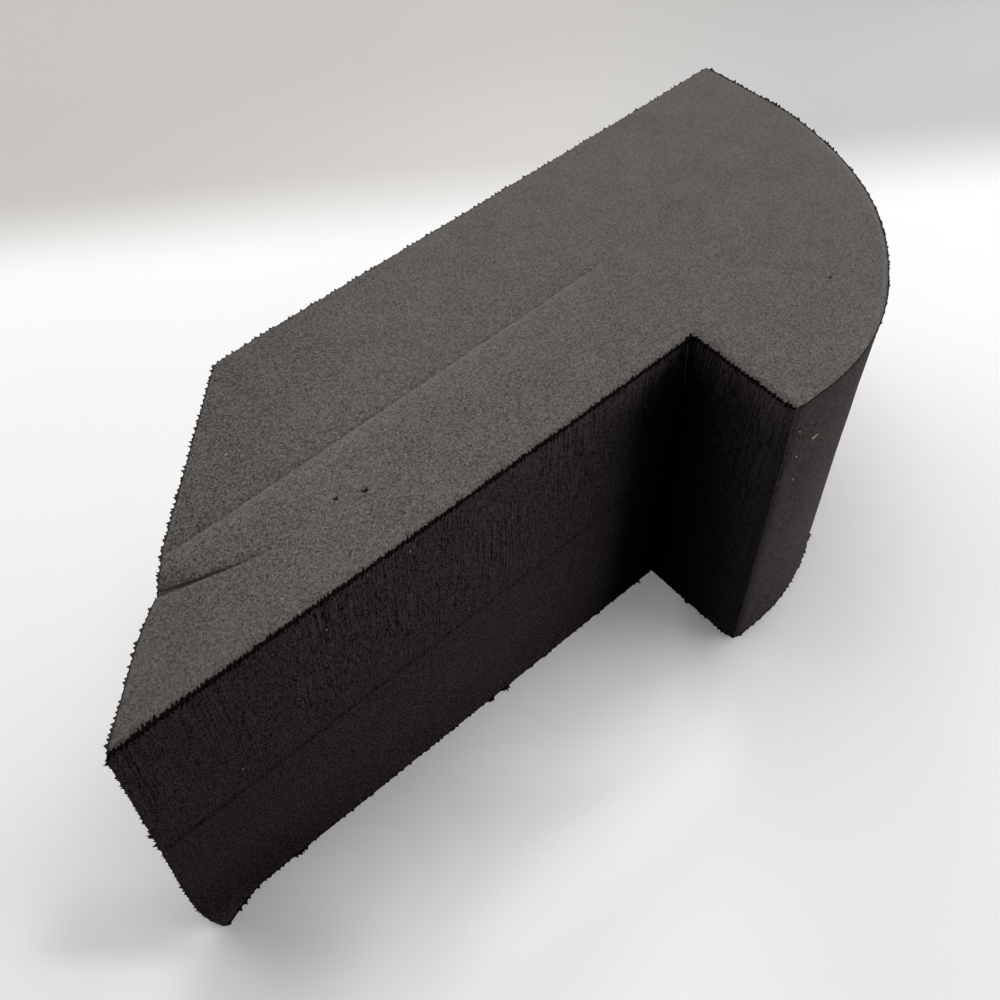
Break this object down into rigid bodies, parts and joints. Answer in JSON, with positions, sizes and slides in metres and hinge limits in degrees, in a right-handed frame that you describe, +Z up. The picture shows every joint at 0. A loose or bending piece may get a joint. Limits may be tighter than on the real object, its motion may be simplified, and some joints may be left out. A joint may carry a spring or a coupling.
{
  "type": "foam block",
  "caption": "Dark closed-cell foam block sawn from two bonded sheets, a bar with a slanted end and a deeper head with one rounded corner.",
  "frame": {"origin": "centre of the footprint's bounding box, on the surface that the block stands on", "axes": "+X along the bar from the slanted end to the rounded head, +Y towards the long straight back, +Z up out of the top skin"},
  "size_m": [0.236, 0.0984, 0.1],
  "materials": {
    "lower_foam": "matt closed-cell polyethylene foam, sawn on its sides, warm dark grey",
    "upper_foam": "matt closed-cell polyethylene foam with a fine-grained top skin and sawn sides, warm dark grey"
  },
  "bodies": {
    "root": {"lower_sheet": "lower_foam", "upper_sheet": "upper_foam"}
  },
  "joints": []
}
